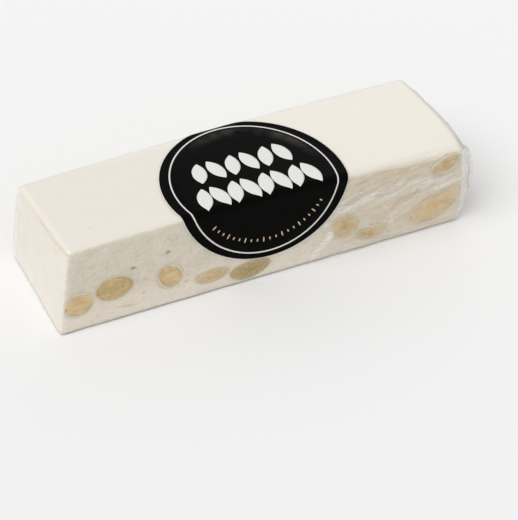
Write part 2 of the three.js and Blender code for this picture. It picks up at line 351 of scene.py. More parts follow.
class Wire:
    """An output of a node. Arithmetic on it adds Math nodes."""

    def __init__(self, board, socket):
        self.board = board
        self.socket = socket

    def math(self, operation, *values):
        return self.board.node("Math", {"operation": operation}, dict(enumerate(values)))

    def combined(self, operation, other):
        return self.math(operation, self, other)

    __add__ = __radd__ = partialmethod(combined, "ADD")
    __mul__ = __rmul__ = partialmethod(combined, "MULTIPLY")
    __sub__ = partialmethod(combined, "SUBTRACT")
    __truediv__ = partialmethod(combined, "DIVIDE")
    __pow__ = partialmethod(combined, "POWER")

    def __rsub__(self, other):
        return self.math("SUBTRACT", other, self)

    def between(self, low, high):
        """0 at low, 1 at high and smooth between them."""
        values = {"Value": self, "From Min": low, "From Max": high}
        return self.board.node("MapRange", {"interpolation_type": "SMOOTHSTEP"}, values)


class Board:
    """The nodes of a material or of the world."""

    def __init__(self, tree):
        self.tree = tree
        tree.nodes.clear()

    def node(self, kind, settings=None, values=None, output=0):
        """Adds a node. Settings are set first, then the values or links of its sockets."""
        made = self.tree.nodes.new("ShaderNode" + kind)
        for name, setting in (settings or {}).items():
            setattr(made, name, setting)
        for name, value in (values or {}).items():
            if isinstance(value, Wire):
                self.tree.links.new(value.socket, made.inputs[name])
            else:
                made.inputs[name].default_value = value
        return Wire(self, made.outputs[output]) if len(made.outputs) else None

    def field(self, name):
        return self.node("Attribute", {"attribute_name": name}, output="Fac")

    def place(self):
        return self.node("TexCoord", output="Object")

    def turned(self, place, degrees):
        """The place with its X axis turned up by an angle, about Y."""
        return self.node(
            "VectorRotate", {"rotation_type": "Y_AXIS"}, {"Vector": place, "Angle": math.radians(degrees)}
        )

    def noise(self, place, widths, detail=2.0, roughness=0.5, twist=0.0):
        """Noise from 0 to 1. widths are as in noise_at."""
        scale = [1 / width for width in np.broadcast_to(widths, 3) * MM]
        place = self.node("Mapping", {"vector_type": "POINT"}, {"Vector": place, "Scale": scale})
        values = {"Vector": place, "Scale": 1.0, "Detail": detail}
        values.update({"Roughness": roughness, "Distortion": twist})
        return self.node("TexNoise", None, values)

    def mix(self, share, first, second):
        """A colour between two colours."""
        settings = {"data_type": "RGBA", "clamp_factor": True}
        return self.node("Mix", settings, {0: share, 6: opaque(first), 7: opaque(second)}, output=2)

    def layered(self, colour, *layers):
        """A colour with others over it, each given after the share that it covers."""
        for share, over in layers:
            colour = self.mix(share, colour, over)
        return colour

    def bump(self, height):
        """A normal from a height in millimetres."""
        return self.node("Bump", None, {"Height": height, "Distance": MM})

    def surface(self, values):
        shader = self.node("BsdfPrincipled", None, values)
        self.node("OutputMaterial", None, {"Surface": shader})


def opaque(colour):
    return colour if isinstance(colour, Wire) else (*tuple(colour)[:3], 1.0)


def new_finish(name):
    material = bpy.data.materials.new(name)
    material.use_nodes = True
    return material, Board(material.node_tree)


# ---------------------------------------------------------------- settings


def settings_of(kind, **limits):
    """What makes settings of one kind, each from its name, description and default."""

    def setting(name, description, default):
        return kind(name=name, description=description, default=default, **limits)

    return setting


colour_setting = settings_of(FloatVectorProperty, subtype="COLOR", min=0.0, max=1.0)
length_setting = settings_of(FloatProperty, min=0.0, unit="LENGTH")
share_setting = settings_of(FloatProperty, min=0.0, max=1.0)
strength_setting = settings_of(FloatProperty, min=0.0)


class NougatSettings(PropertyGroup):
    inset: length_setting("Inset", "How far the nougat lies inside the bar's outside", 0.3 * MM)
    smear: length_setting("Smear", "Height of the knife's smears on the cut faces", 0.05 * MM)
    furrow: length_setting("Furrow", "Depth of the furrows towards the right end", 0.35 * MM)
    paper: colour_setting("Paper", "The edible paper on the top and the bottom", (0.84, 0.80, 0.715))
    cut: colour_setting("Cut", "The cut faces", (0.84, 0.775, 0.65))
    shade: colour_setting("Shade", "The darker mottles of the cut faces", (0.70, 0.645, 0.52))
    # Pale is painted bounce light, low in the cut faces.
    pale: colour_setting("Pale", "The pinker nougat low in the cut faces", (0.94, 0.86, 0.75))
    warm: colour_setting("Warm", "The tan nougat towards the right end", (0.78, 0.67, 0.48))
    # The pits' brown is partly painted shade in their hollows; the dark specks use it too.
    pit: colour_setting("Pit", "The bottoms of the pits", (0.36, 0.20, 0.12))


class NutSettings(PropertyGroup):
    pocket: length_setting("Pocket", "Depth of the nougat under a nut's cut", 0.9 * MM)
    dome: length_setting("Dome", "How far a nut's cut stands up in its middle", 0.04 * MM)
    light: colour_setting("Light", "The pale flesh of a nut", (0.755, 0.55, 0.28))
    dark: colour_setting("Dark", "The darker flesh of a nut", (0.41, 0.278, 0.065))


class FilmSettings(PropertyGroup):
    inset: length_setting("Inset", "How far the film lies inside the solid's outside", 0.15 * MM)
    wall: length_setting("Wall", "Thickness of the film", 0.04 * MM)
    crumple: length_setting("Crumple", "Height of the ridges where the film is crumpled", 0.22 * MM)
    haze: share_setting("Haze", "How milky the flat film is", 0.02)
    cloud: share_setting("Cloud", "How milky the crumpled film is at most", 0.75)
    crease: share_setting("Crease", "How milky the film is along a sharp crease", 0.32)
    tint: colour_setting("Tint", "What the film scatters", (0.95, 0.93, 0.885))


class LabelSettings(PropertyGroup):
    radius: length_setting("Radius", "Radius of the label", 30.7 * MM)
    thickness: length_setting("Thickness", "Thickness of the label's paper", 0.14 * MM)
    lift: length_setting("Lift", "How deep the label's underside lies in its solid's gap", 0.08 * MM)
    rim: length_setting("Rim", "Width of the bare paper round the print", 0.2 * MM)
    ring_length: length_setting("Ring length", "Half length of the printed oval along the bar", 26.9 * MM)
    ring_reach: length_setting("Ring reach", "Half length of the printed oval across the bar", 28.4 * MM)
    ring_width: length_setting("Ring width", "Width of the printed ring", 0.5 * MM)
    ink: colour_setting("Ink", "The black print", (0.0022, 0.0021, 0.0019))
    paper: colour_setting("Paper", "The label's paper and the white print", (0.83, 0.82, 0.79))
    foil: colour_setting("Foil", "The small print's gold", (0.66, 0.52, 0.31))


class StageSettings(PropertyGroup):
    floor: colour_setting("Floor", "The floor's paper", (0.897, 0.897, 0.897))
    sky: strength_setting("Sky", "Strength of the light all round", 0.60)
    backdrop: strength_setting("Backdrop", "Brightness of what lies past the floor", 0.913)
    key: strength_setting("Key", "Strength of the light from above", 1.46)
    softbox: strength_setting("Softbox", "Watts of the light behind the bar", 0.45)


class NougatBarSettings(PropertyGroup):
    nougat: PointerProperty(type=NougatSettings)
    nuts: PointerProperty(type=NutSettings)
    film: PointerProperty(type=FilmSettings)
    label: PointerProperty(type=LabelSettings)
    stage: PointerProperty(type=StageSettings)


# ---------------------------------------------------------------- nougat and nuts

NOUGAT_CELLS = (300, 30, 64)
NUT_SEGMENTS = {"around": 56, "over": 36}

# The pits in the front face: the middle, the half length and half height, the tilt, the depth and how dark
# it is, which is partly the brown of its bottom and partly painted shade in its hollow.
FRONT_PITS = (
    (-46.3, 17.6, 1.1, 0.45, 0, 0.5, 0.85),
    (-34.5, 19.7, 1.0, 0.5, 25, 0.45, 0.8),
    (-27.5, 6.8, 0.9, 0.4, 20, 0.35, 0.5),
    (-42.1, 7.3, 0.5, 0.35, 0, 0.3, 0.5),
    (-41.6, 12.1, 0.9, 0.6, 0, 0.1, 0.22),
    (-47.9, 4.2, 3.9, 0.6, -7, 0.15, 0.26),
    (-60.8, 19.1, 1.9, 0.35, 20, 0.15, 0.16),
    (-23.7, 11.8, 3.4, 0.3, 0, 0.1, 0.12),
)
# Small pits all over both long faces: how many, and between what each of their measures is drawn.
LOOSE_PITS = {"count": 110, "seed": 11}
LOOSE_PIT_SPANS = {
    "half length": (0.25, 0.75),
    "x": (-67, 67),
    "z": (2.5, 28),
    "half height to half length": (0.5, 1.0),
    "tilt": (-30, 30),
    "depth": (0.1, 0.35),
    # A pit's darkness is partly painted shade in its hollow.
    "darkness": (0.05, 0.3),
}
# A stain on the top paper and how dark it is.
TOP_STAIN = (-58.2, -10.7, 0.8, 0.6, 20)
STAIN_DARK = 0.1
# A tan line along the left end's top edge, and where across the bar it fades.
TOP_EDGE_LINE = {"middle": 28.2, "rise": 1.4, "half": 1.3}
TOP_EDGE_LINE_SPAN = (22 * MM, -6 * MM)
# Where the nougat turns tan, from left to right, and where a painted bounce light makes it paler and pinker,
# from the top down.
WARM_SPAN = (14 * MM, 34 * MM)
PAINTED_BOUNCE_SPAN = (14 * MM, 4 * MM)
# The widths of the smears, lumps and furrows of the cut faces, and how far the furrows rise for each
# millimetre to the right.
SMEAR_WIDTHS = (9, 9, 1.4)
LUMP_WIDTHS = 2.2
FURROW_WIDTHS = (9, 9, 2.6)
FURROW_RISE = 0.26
# How far the top paper's edge hangs over the cut faces: the least, how much more of it there is to
# the right and between which places, how uneven it is, and how soft.
PAPER_LIP = {"least": 0.9, "more": 1.3, "span": (18 * MM, 55 * MM), "uneven": 0.25 * MM}
LIP_SOFTNESS = {"above": 0.5 * MM, "below": 0.4 * MM}


def nut_share(nut, x, z):
    """How far out places of a face are on a nut's cut: 0 in its middle and 1 on its outline."""
    middle_x, middle_z, length, height, tilt, bend = nut
    turn = math.radians(tilt)
    along = (x - middle_x * MM) * math.cos(turn) + (z - middle_z * MM) * math.sin(turn)
    across = (z - middle_z * MM) * math.cos(turn) - (x - middle_x * MM) * math.sin(turn)
    share = along / (length * MM / 2)
    across = across - bend * height * MM * (share**2 - 0.5)
    return np.hypot(share, across / (height * MM / 2))


def pit_share(pit, x, z):
    """How far out places of a face are on a pit: 0 in its middle and 1 on its outline."""
    return nut_share((pit[0], pit[1], 2 * pit[2], 2 * pit[3], pit[4], 0), x, z)


def loose_pits():
    """Small pits all over a long face, of sizes and depths drawn at random."""
    draw = np.random.default_rng(LOOSE_PITS["seed"])
    pits = []
    for _ in range(LOOSE_PITS["count"]):
        half, x, z, flat, tilt, depth, dark = (draw.uniform(*span) for span in LOOSE_PIT_SPANS.values())
        pits.append((x, z, half, half * flat, tilt, depth, dark))
    return pits


def build_nougat(settings, middle):
    look = settings.nougat
    bm, core = rounded_block(look.inset, look.inset / 2, NOUGAT_CELLS)
    fields = {}

    def carve(points):
        outwards = block_normals(points, core)
        x, y, z = points.T
        cut = 1 - outwards[:, Z] ** 2
        smears = noise_at(points, SMEAR_WIDTHS, octaves=3)
        lumps = noise_at(points, LUMP_WIDTHS, seed=7.0)
        depth = hollow_depth(points, outwards)
        depth += cut * look.smear * (smears + 0.8 * lumps)
        near_nut = np.zeros(len(points))
        # dark holds the top's stain and the pits' darkness, which is partly painted shade in their hollows.
        dark = STAIN_DARK * step(outwards[:, Z], 0.9, 1) * step(pit_share(TOP_STAIN, x, y), 1.2, 0.4)
        small = loose_pits()
        faces = (FRONT, FRONT_NUTS, [*FRONT_PITS, *small[::2]]), (BACK, BACK_NUTS, small[1::2])
        for side, nuts, pits in faces:
            on_face = step(side * outwards[:, Y], 0.5, 0.9)
            for nut in nuts:
                share = nut_share(nut, x, z)
                depth += settings.nuts.pocket * on_face * step(share, 1.04, 0.94)
                near_nut = np.maximum(near_nut, on_face * step(share, 1.4, 1.0))
            clear = on_face * (near_nut < 0.3)
            for pit in pits:
                inside = clear * step(pit_share(pit, x, z), 1.25, 0.35)
                depth += pit[5] * MM * inside
                dark = np.maximum(dark, pit[6] * inside)
        height = TOP_EDGE_LINE["middle"] + TOP_EDGE_LINE["rise"] * np.abs(y / (BAR_SIZE[Y] / 2)) ** 3
        seam = step(-outwards[:, X], 0.4, 0.9) * step(np.abs(z / MM - height), TOP_EDGE_LINE["half"], 0.0)
        seam *= step(y, *TOP_EDGE_LINE_SPAN)
        cut_faces = np.abs(outwards[:, Y]) ** 2
        warm = cut_faces * step(x, *WARM_SPAN)
        # low is painted bounce light: the cut faces paler and pinker towards the bottom.
        low = cut_faces * step(z, *PAINTED_BOUNCE_SPAN) * (1 - 0.6 * warm)
        slanted = points.copy()
        slanted[:, Z] -= FURROW_RISE * x
        furrows = noise_at(slanted, FURROW_WIDTHS, octaves=3, seed=51.0)
        depth += warm * look.furrow * (0.5 + 0.5 * furrows)
        lip = (PAPER_LIP["least"] + PAPER_LIP["more"] * step(x, *PAPER_LIP["span"])) * MM
        lip += PAPER_LIP["uneven"] * lumps
        cut = cut * step(BAR_SIZE[Z] - z, lip - LIP_SOFTNESS["above"], lip + LIP_SOFTNESS["below"])
        end = step(np.abs(outwards[:, X]), 0.5, 0.9)
        fields.update(cut=cut, near_nut=near_nut, dark=dark, seam=seam, low=low, warm=warm, end=end)
        points[:, X] += end_reach(x, y, z)
        return lean(points - depth[:, None] * outwards) + middle

    reshape(bm, carve)
    make_piece("nougat_body", bm, nougat_finish(look), ["nougat"], fields)


# How dark each nut's cut is, from left to right, how far nougat is smeared over it, and the share of its
# height that stays bare. The fifth front nut's dark tone is partly painted shade, as it lies low near the
# bar's bottom.
FRONT_TONES = (0.1, 0.5, 0.2, 0.4, 1.2, 0.5, 0.5, 0.5, 0.2)
FRONT_SMEARS = (0.1, 0.0, 0.1, 0.4, 0.3, 0.45, 0.6, 0.25, 0.35)
FRONT_BARE = (0.87, 0.93, 0.84, 1.0, 1.0, 1.0, 1.0, 0.78, 1.0)
BACK_TONES = (0.2, 0.5, 0.1, 0.6, 0.3, 0.8, 0.2, 0.4)
BACK_SMEARS = (0.2, 0.1, 0.6, 0.3, 0.1, 0.4, 0.2, 0.5)
BACK_BARE = (0.9, 1.0, 0.9, 1.0, 0.85, 1.0, 0.9, 1.0)
NUT_RIPPLE = 0.02 * MM
NUT_RIPPLE_WIDTHS = (4, 4, 1.6)


def build_nut(name, node, nut, looks, side, settings, middle, finish):
    """A bent kernel that the cut face slices flush, with a slight dome on the cut."""
    middle_x, middle_z, length, height, tilt, bend = nut
    cut_share = math.sqrt(1 - (NUT_UNDER / NUT_HALF_THICKNESS) ** 2)
    face = BAR_SIZE[Y] / 2 - settings.nougat.inset
    turn = math.radians(tilt)
    fields = {}
    bm = bmesh.new()
    around, over = NUT_SEGMENTS["around"], NUT_SEGMENTS["over"]
    bmesh.ops.create_uvsphere(bm, u_segments=around, v_segments=over, radius=1.0)
    bmesh.ops.rotate(bm, matrix=Matrix.Rotation(math.radians(90), 3, "X"), verts=bm.verts)

    def shape(ball):
        along = ball[:, X] * length / 2 / cut_share * MM
        across = ball[:, Z] * height / 2 / cut_share * MM
        across += bend * height * MM * (ball[:, X] ** 2 - 0.5)
        x = middle_x * MM + along * math.cos(turn) - across * math.sin(turn)
        z = middle_z * MM + along * math.sin(turn) + across * math.cos(turn)
        out = side * ball[:, Y] * NUT_HALF_THICKNESS + face - NUT_UNDER
        share = nut_share(nut, x, z)
        flat = np.column_stack([x, np.full(len(x), side * face), z])
        facing = np.zeros_like(flat)
        facing[:, Y] = side
        cut_face = face - hollow_depth(flat, facing)
        ripples = NUT_RIPPLE * noise_at(flat, NUT_RIPPLE_WIDTHS, seed=middle_x)
        dome = settings.nuts.dome * (1.4 - 2.4 * step(share, 0.6, 1.05)) + ripples
        out = np.minimum(out, cut_face + dome)
        tone, smear, bare = looks
        bare_share = nut_share((middle_x, middle_z, length, height * bare, tilt, bend), x, z)
        fields["share"] = np.clip(bare_share, 0, 1.3)
        fields["tone"] = np.full(len(x), tone)
        fields["smear"] = np.full(len(x), smear)
        fields["warm"] = step(x, *WARM_SPAN)
        x = x + end_reach(x, side * out, z)
        return lean(np.column_stack([x, side * out, z])) + middle

    reshape(bm, shape)
    make_piece(name, bm, finish, [node], fields)


def build_nuts(settings, middle):
    finish = nut_finish(settings)
    rows = (
        ("front", FRONT, zip(FRONT_NUTS, zip(FRONT_TONES, FRONT_SMEARS, FRONT_BARE))),
        ("back", BACK, zip(BACK_NUTS, zip(BACK_TONES, BACK_SMEARS, BACK_BARE))),
    )
    for word, side, nuts in rows:
        for count, (nut, looks) in enumerate(nuts, 1):
            node = f"cashew_{word}_{count}"
            build_nut(f"kernel_{word}_{count}", node, nut, looks, side, settings, middle, finish)


# The colours that lie over the nougat's own, over its paper's and over a nut's.
NOUGAT_TINTS = {
    "blush": (0.87, 0.74, 0.63),
    # The tan and brown streaks are partly the nougat's own and partly painted shade of the crumpled film's
    # folds.
    "tan streak": (0.62, 0.48, 0.29),
    "brown streak": (0.47, 0.37, 0.24),
    "dark grain": (0.57, 0.50, 0.39),
    "scratch": (0.60, 0.52, 0.39),
    "light grain": (0.93, 0.89, 0.80),
    "near nut": (0.66, 0.52, 0.33),
}
PAPER_TINTS = {
    "patch": (0.87, 0.82, 0.745),
    "warm": (0.80, 0.70, 0.54),
    "end": (0.90, 0.79, 0.70),
    "seam": (0.74, 0.61, 0.44),
}
NUT_TINTS = {"fleck": (0.84, 0.70, 0.47), "rim": (0.42, 0.26, 0.10), "warm crumb": (0.72, 0.62, 0.46)}


def lit_inside(red, green, blue):
    """Shader values for food that light enters: how far its colours reach, in millimetres."""
    return {"Subsurface Weight": 0.15, "Subsurface Radius": (red, green, blue), "Subsurface Scale": 1.0 * MM}


def nougat_finish(look):
    material, board = new_finish("white_nougat")
    place = board.place()
    cut, warm, end = board.field("cut"), board.field("warm"), board.field("end")
    patches = board.noise(place, (6, 6, 4), detail=5.0, roughness=0.62, twist=0.4)
    lumps = board.noise(place, (1.7, 1.7, 1.2), detail=4.0, roughness=0.65)
    grain = board.noise(place, 0.5, detail=3.0, roughness=0.75)
    shreds = board.noise(place, (1.8, 1.8, 0.35), detail=3.0, roughness=0.6, twist=1.2)
    scratches = board.noise(place, (6, 6, 0.5), twist=0.6)
    upright = board.noise(place, (2.5, 2.5, 16), detail=3.0, roughness=0.55, twist=0.5)
    blush = board.noise(place, (3.4, 3.4, 2.4), detail=4.0, roughness=0.6, twist=0.3)
    # The tan and brown streaks that slant across the cut faces towards the right end are partly the nougat's
    # own and partly painted shade of the crumpled film's folds.
    tan_streaks_and_fold_shade = board.noise(board.turned(place, 15), (8, 8, 2.2), detail=3.0, twist=0.6)
    brown_streaks_and_fold_shade = board.noise(board.turned(place, 17), (4.5, 4.5, 0.6), detail=3.0, twist=1.0)
    flesh = board.layered(
        look.cut,
        (patches.between(0.36, 0.64) * 0.5 + lumps.between(0.36, 0.64) * 0.5, look.shade),
        (blush.between(0.5, 0.62) * 0.4, NOUGAT_TINTS["blush"]),
        (warm * (0.55 + patches * 0.5), look.warm),
        (warm * tan_streaks_and_fold_shade.between(0.48, 0.64) * 0.55, NOUGAT_TINTS["tan streak"]),
        (warm * brown_streaks_and_fold_shade.between(0.55, 0.66) * 0.5, NOUGAT_TINTS["brown streak"]),
        # Painted bounce light: paler, pinker nougat low in the cut faces.
        (board.field("low") * (0.5 + patches.between(0.3, 0.6) * 0.45), look.pale),
        (grain.between(0.60, 0.38) * 0.24, NOUGAT_TINTS["dark grain"]),
        (scratches.between(0.58, 0.70) * 0.35, NOUGAT_TINTS["scratch"]),
        (grain.between(0.52, 0.7) * 0.18, NOUGAT_TINTS["light grain"]),
        (shreds.between(0.56, 0.72) * 0.5, look.paper),
        (lumps.between(0.60, 0.70) * grain.between(0.45, 0.6) * 0.45, look.pit),
        (board.field("near_nut") * shreds.between(0.3, 0.7) * (warm * 0.4 + 0.35), NOUGAT_TINTS["near nut"]),
    )
    paper = board.layered(
        look.paper,
        (patches * 0.25, PAPER_TINTS["patch"]),
        (warm * 0.6, PAPER_TINTS["warm"]),
        (end * upright.between(0.42, 0.66) * 0.3, PAPER_TINTS["end"]),
    )
    off_ends = 1 - end * 0.85
    colour = board.layered(
        paper,
        (cut.between(0.25, 0.8) * off_ends, flesh),
        (board.field("seam") * (lumps.between(0.38, 0.58) * 0.6 + 0.25), PAPER_TINTS["seam"]),
        # The stain, and the pits' darkness, which is partly painted shade in their hollows.
        (board.field("dark"), look.pit),
    )
    height = cut * off_ends * (lumps * 0.14 + shreds * 0.08 + grain * 0.07) + grain * 0.008
    board.surface(
        {
            "Base Color": colour,
            "Roughness": 0.85 - cut * 0.25 + patches * 0.1,
            "Normal": board.bump(height),
            **lit_inside(1.0, 0.7, 0.4),
        }
    )
    return material


def nut_finish(settings):
    look = settings.nuts
    material, board = new_finish("cashew_flesh")
    place = board.place()
    share = board.field("share")
    layers = board.noise(place, (5, 5, 1.1), detail=3.0, twist=0.8)
    cloud = board.noise(place, 3.0, detail=3.0)
    grain = board.noise(place, 0.4)
    breakup = board.noise(place, 0.9, detail=3.0)
    shade = layers.between(0.4, 0.66) * 0.32 + cloud.between(0.35, 0.65) * 0.3
    shade = shade + board.field("tone") * 0.9 - 0.2
    film_over = board.field("smear") * (share * 0.7 + breakup * 0.9 - 0.25).between(0.2, 0.9)
    crumb = board.layered(
        settings.nougat.cut,
        (breakup * 0.5 + 0.6, settings.nougat.shade),
        (board.field("warm") * 0.55, NUT_TINTS["warm crumb"]),
    )
    colour = board.layered(
        look.light,
        (shade, look.dark),
        (breakup.between(0.52, 0.66) * 0.3, NUT_TINTS["fleck"]),
        (share.between(0.80, 0.93) * cloud.between(0.42, 0.56) * 0.55, NUT_TINTS["rim"]),
        (share.between(0.92, 1.04) * 0.95 + film_over * 0.85, crumb),
    )
    board.surface(
        {
            "Base Color": colour,
            "Roughness": 0.45 + grain * 0.2,
            "Normal": board.bump(grain * 0.03 + layers * 0.05),
            **lit_inside(1.0, 0.6, 0.3),
        }
    )
    return material


# ---------------------------------------------------------------- film

FILM_CELLS = (320, 42, 84)
FLAP_CELLS = (44, 24)
# The film's columns are closer together where it is crumpled: this share of them lies to the left
# of the place where that starts.
CRUMPLE_START = 8 * MM
CALM_SHARE = 0.38

# Soft folds in the film over the front face: a line of places on it, its half width, its height
# and how milky it is.
FRONT_FOLDS = (
    (
        ((26.4, 18.6), (30.8, 19.3), (40.6, 20.0), (46.5, 20.8), (52.4, 21.3), (58.5, 20.6), (62.3, 18.8)),
        6.2, 0.3, 1.15,
    ),
    (((56.9, 19.4), (62.9, 18.2), (69.3, 18.9)), 3.2, 0.2, 0.8),
    (((64.0, 22.5), (69.4, 20.8)), 2.5, 0.1, 0.55),
    (((26.2, 24.1), (33.1, 22.9)), 2.6, 0.1, 0.5),
    (((21.3, 13.3), (22.8, 9.7), (20.1, 6.5), (16.9, 2.9)), 2.8, 0.6, 1.2),
    (((29.2, 7.9), (35.7, 9.3), (42.5, 5.0)), 1.4, 0.3, 0.55),
    (((42.3, 15.1), (45.0, 6.8)), 2.2, 0.2, 0.6),
    (((45.7, 11.5), (52.8, 15.9)), 1.8, 0.15, 0.5),
    (((69.0, 29.6), (68.7, 4.1)), 2.0, 0.0, 0.75),
    (((43.5, 4.3), (65.3, 3.3)), 2.0, 0.0, 0.4),
    (((-69.3, 28.0), (-70.5, 1.8)), 2.6, 0.0, 0.35),
)
# Sharp creases in it: the two ends, the half width, the height and how milky it is.
FRONT_CREASES = (
    (28.5, 8.1, 33.3, 9.4, 1.36, 0.42, 0.44),
    (33.3, 9.4, 37.4, 8.3, 1.19, 0.36, 0.33),
    (37.4, 8.3, 42.5, 5, 1.19, 0.3, 0.22),
    (43.9, 13.2, 44.4, 9.9, 1.19, 0.3, 0.33),
    (45.3, 11.5, 44.6, 7.2, 1.19, 0.3, 0.3),
    (38.8, 14.5, 49.8, 15.5, 1.36, 0.18, 0.17),
    (49.8, 15.5, 66.7, 15.5, 1.53, 0.18, 0.19),
    (56.9, 24, 61.6, 28.2, 1.19, 0.3, 0.39),
    (55, 24.1, 58.8, 27, 1.02, 0.18, 0.22),
    (44.9, 21.2, 48, 22.3, 1.36, 0.36, 0.44),
    (36.5, 17.7, 39.4, 19, 1.36, 0.36, 0.39),
    (27, 19.8, 44, 21.5, 1.36, 0.18, 0.17),
    (22.1, 13, 23.3, 9.5, 1.36, 0.2, 0.12),
    (23.3, 9.5, 20.1, 6, 1.36, 0.2, 0.12),
    (25.8, 4, 40.5, 3, 1.02, 0.12, 0.14),
    (60.4, 17.9, 65.9, 21.3, 1.36, 0.18, 0.19),
    (62.4, 15.9, 68.3, 19.4, 1.36, 0.18, 0.19),
)
# Where the film over the front lies close, so that what is under it shows: the middle, the half
# length and half height, and the tilt.
CLEAR_SPOTS = (
    (59.5, 9.8, 9.5, 5.2, 27),
    (63.8, 25.8, 6.0, 3.6, 33),
    (42.0, 26.3, 24.0, 2.4, 4),
    (28.0, 10.6, 5.2, 4.8, 0),
    (36.5, 5.4, 6.0, 2.8, 0),
)
BACK_FOLDS = (
    (((-66.0, 22.0), (-52.0, 19.0), (-40.0, 21.0)), 3.0, 0.3, 0.7),
    (((30.0, 9.0), (44.0, 12.0)), 2.4, 0.25, 0.5),
    (((69.4, 29.0), (69.6, 2.0)), 2.4, 0.0, 0.5),
    (((-69.6, 29.0), (-70.0, 2.0)), 2.4, 0.0, 0.5),
)
BACK_CREASES = (
    (-64.0, 24.0, -45.0, 23.0, 0.5, 0.25, 0.6),
    (-60.0, 16.5, -44.0, 18.0, 0.45, 0.2, 0.5),
    (28.0, 12.0, 47.0, 10.0, 0.45, 0.2, 0.4),
)
# Creases in it over the top, along its front edge, where it is drawn tight.
TOP_CREASES = (
    (49.6, -15.7, 63.9, -16.1, 0.45, 0.04, 0.5),
    (52.0, -14.5, 62.0, -14.7, 0.35, 0.03, 0.35),
    (44.0, -17.2, 56.0, -17.0, 0.4, 0.03, 0.4),
)
# The share of the nougat's hollows that the film follows, and the height and the width of its waves.
FILM_FOLLOWS = 0.6
FILM_WAVE = 0.04 * MM
FILM_WAVE_WIDTHS = 24
# The veil over the right of the front: where it starts and is full, how milky it is there and how
# uneven, and the widths of its patches.
VEIL_SPAN = (16 * MM, 30 * MM)
VEIL_CLOUD = {"mean": 0.34, "uneven": 0.3}
VEIL_WIDTHS = (11, 11, 5)
# How much of the film's milkiness is gone in its clear spots.
SPOT_CLEARS = 0.85
# The ridges of crumpled film: their widths, their seed and their share of the height.
RIDGES = (((14, 14, 4.5), 3.0, 0.7), ((6, 6, 2.0), 21.0, 0.3))
# How far ridges wander, in their own widths, and the size of the noise at which a ridge has ended.
RIDGE_WARP = 0.35
RIDGE_REACH = 0.42

# The film over each end: where it starts to stand off and does so in full, inwards from the end, the
# height of its wrinkles, how milky its creases are and how milky it is.
END_START = {"from": 4 * MM, "full": 0.2 * MM}
END_WRINKLE = {LEFT: 0.06 * MM, RIGHT: 0.15 * MM}
END_CREASE = {LEFT: 0.05, RIGHT: 0.1}
END_CLOUD = {LEFT: 0.0, RIGHT: 0.2}
WRINKLE_WIDTHS = (60, 4.5, 14)

# How far down the upper flap and up the lower one reach: their tips meet without an overlap.
FLAP_REACH = {"top": 18.5 * MM, "bottom": 11.0 * MM}
# The tight end's flaps lie flat: how far they stand up, and over how wide a slope at their edges.
TIGHT_FLAP = {"lift": 0.1 * MM, "slope": 1.8 * MM}
# A loose flap: where it starts, how far it stands up, the margin at its sides, and how much it
# narrows on each side for each millimetre that it reaches in.
FLAP_START = 1.9 * MM
FLAP_LIFT = 0.45 * MM
FLAP_MARGIN = 0.6 * MM
FLAP_NARROWS = 0.92
FLAP_RIPPLE_WIDTHS = (30, 6, 6)

# The pinched fold at the loose end's front corner: its top and its tip, how far it stands out, half
# its depth, how deep its root lies in the bar, how far it waves outwards and sways across, and how
# milky it is.
EAR_TOP = np.array([69.6, -17.6, 30.0]) * MM
EAR_TIP = np.array([73.4, -17.8, 13.0]) * MM
EAR_WIDTH = 2.3 * MM
EAR_HALF_DEPTH = 1.0 * MM
EAR_ROOT = 0.6 * MM
EAR_WAVE = 0.25 * MM
EAR_SWAY = 0.4 * MM
EAR_CLOUD = 0.4
EAR_CELLS = (16, 40)


def line_gap(a, b, line):
    """How far places are from a line of straight stretches."""
    gaps = []
    for start, end in zip(line, line[1:]):
        start, end = np.array(start) * MM, np.array(end) * MM
        along = end - start
        share = np.clip(((a - start[0]) * along[0] + (b - start[1]) * along[1]) / (along @ along), 0, 1)
        gaps.append(np.hypot(a - start[0] - share * along[0], b - start[1] - share * along[1]))
    return np.min(gaps, axis=0)


def folds_and_creases(a, b, folds, creases):
    """The height of the film's folds and creases on a face, how milky and how sharp they are."""
    height, milky, sharp = (np.zeros(len(a)) for _ in range(3))
    for line, half, rise, cloud in folds:
        share = step(line_gap(a, b, line), half * MM, 0)
        height += rise * MM * share
        milky = np.maximum(milky, cloud * share)
    for *ends, half, rise, haze in creases:
        gap = line_gap(a, b, (ends[:2], ends[2:]))
        share = np.clip(1 - gap / (half * MM), 0, 1)
        height += rise * MM * share
        sharp = np.maximum(sharp, haze * share**1.5)
    return height, milky, sharp


def crumpled(points, widths, seed):
    """Sharp ridges with flat cells between them, as in film that was pressed together: 0 to 1."""
    widths = np.array(widths)
    warp = RIDGE_WARP * noise_at(points, widths * 2, seed=seed + 9.0)
    values = noise_at(points + warp[:, None] * (widths * MM), widths, seed=seed)
    return np.clip(1 - np.abs(values) / RIDGE_REACH, 0, 1)


